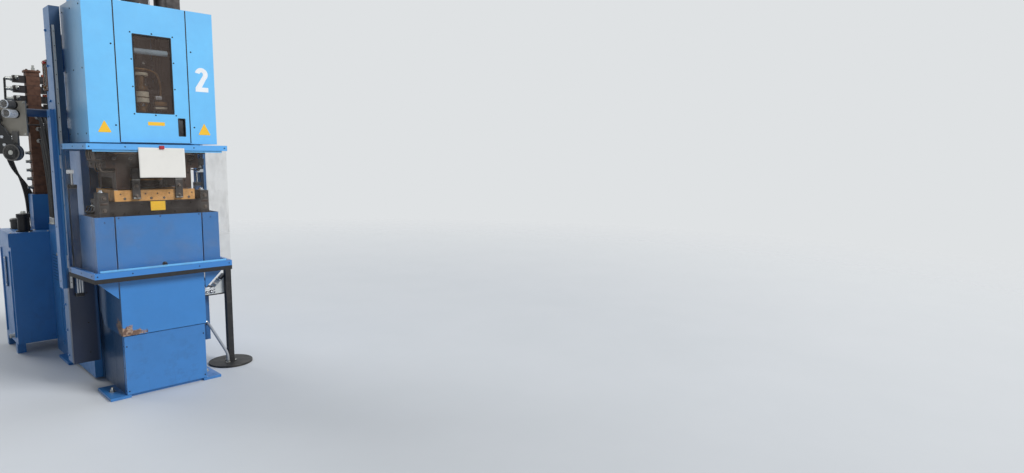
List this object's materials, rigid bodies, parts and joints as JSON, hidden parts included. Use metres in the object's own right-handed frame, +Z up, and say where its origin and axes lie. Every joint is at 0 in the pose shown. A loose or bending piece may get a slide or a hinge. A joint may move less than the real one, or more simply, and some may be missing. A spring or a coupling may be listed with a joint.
{
  "type": "vertical rubber injection moulding press",
  "caption": "Upright C-frame press that injects and moulds rubber, with a lifting clear guard, a rising lower table, a feed unit on top, an oil tank behind and a side console.",
  "frame": {"origin": "on the floor, under the vertical clamping axis", "axes": "+X to the right as the operator faces the machine, +Y to the back, +Z up along the clamping axis"},
  "size_m": [1.5451, 2.321, 3.4],
  "materials": {
    "blue_lower": "satin",
    "bright_steel": "ground",
    "alloy": "satin",
    "ground_chrome": "polished",
    "blue_upper": "satin",
    "clear_pane": "gloss, lightly scratched",
    "black_rubber": "matte",
    "mould_steel": "oily, brown from heat",
    "dark_steel": "oily",
    "plate_steel": "straw-coloured from heat",
    "insulation": "matte",
    "window_tint": "gloss",
    "bronze": "dull",
    "rust_brown": "dull, rusty",
    "motor_grey": "satin",
    "stand_grey": "satin",
    "desk_grey": "satin",
    "conduit_grey": "ribbed, matte",
    "hose_black": "matte",
    "feeder_grey": "satin",
    "roller_grey": "matte",
    "note_paper": "matte",
    "magnet_red": "gloss"
  },
  "bodies": {
    "machine": {"base_body": "blue_lower", "base_front_panel": "blue_lower", "sole_plates": "blue_lower", "frame_cheeks": "blue_lower", "frame_rear_plate": "blue_lower", "upper_crosshead": "blue_lower", "guard_columns": "blue_lower", "rail_covers": "blue_lower", "guard_rails": "bright_steel", "lift_cylinders": "alloy", "upper_mould": "mould_steel", "mould_hooks": "dark_steel", "upper_platen": "mould_steel", "insulation_board": "insulation", "housing_left": "blue_upper", "housing_right": "blue_upper", "housing_lid": "blue_upper", "housing_floor": "blue_upper", "housing_door": "blue_upper", "door_window": "window_tint", "injection_barrel": "dark_steel", "injection_cylinder": "dark_steel", "guide_rods": "ground_chrome", "rod_block": "bronze", "top_yoke": "dark_steel", "feed_column": "dark_steel", "hose_post": "blue_upper", "oil_tank": "blue_lower", "pump_box": "blue_lower", "valve_stack": "rust_brown", "valve_blocks": "dark_steel", "pump_motor": "motor_grey", "console_stand": "stand_grey", "console_desk": "desk_grey", "console_conduit": "conduit_grey", "hydraulic_hoses": "hose_black", "strip_feeder": "feeder_grey", "feed_rollers": "roller_grey", "level_gauge": "rust_brown"},
    "guard": {"guard_frame": "blue_upper", "guard_front_pane": "clear_pane", "guard_side_panes": "clear_pane", "guard_rubber_strip": "black_rubber", "guard_carriages": "bright_steel", "lift_rods": "ground_chrome", "note_sheet": "note_paper", "note_magnet": "magnet_red"},
    "clamp": {"ram": "ground_chrome", "moving_table": "mould_steel", "moving_cover": "blue_lower", "cover_wings": "blue_lower", "lower_mould": "mould_steel", "latch_blocks": "dark_steel", "transfer_plate": "plate_steel"}
  },
  "joints": [
    {"name": "guard_lift", "type": "slide", "parent": "machine", "child": "guard", "axis": [0, 0, 1], "range_m": [0, 0.7]},
    {"name": "clamp_travel", "type": "slide", "parent": "machine", "child": "clamp", "axis": [0, 0, 1], "range_m": [-0.35, 0]}
  ]
}
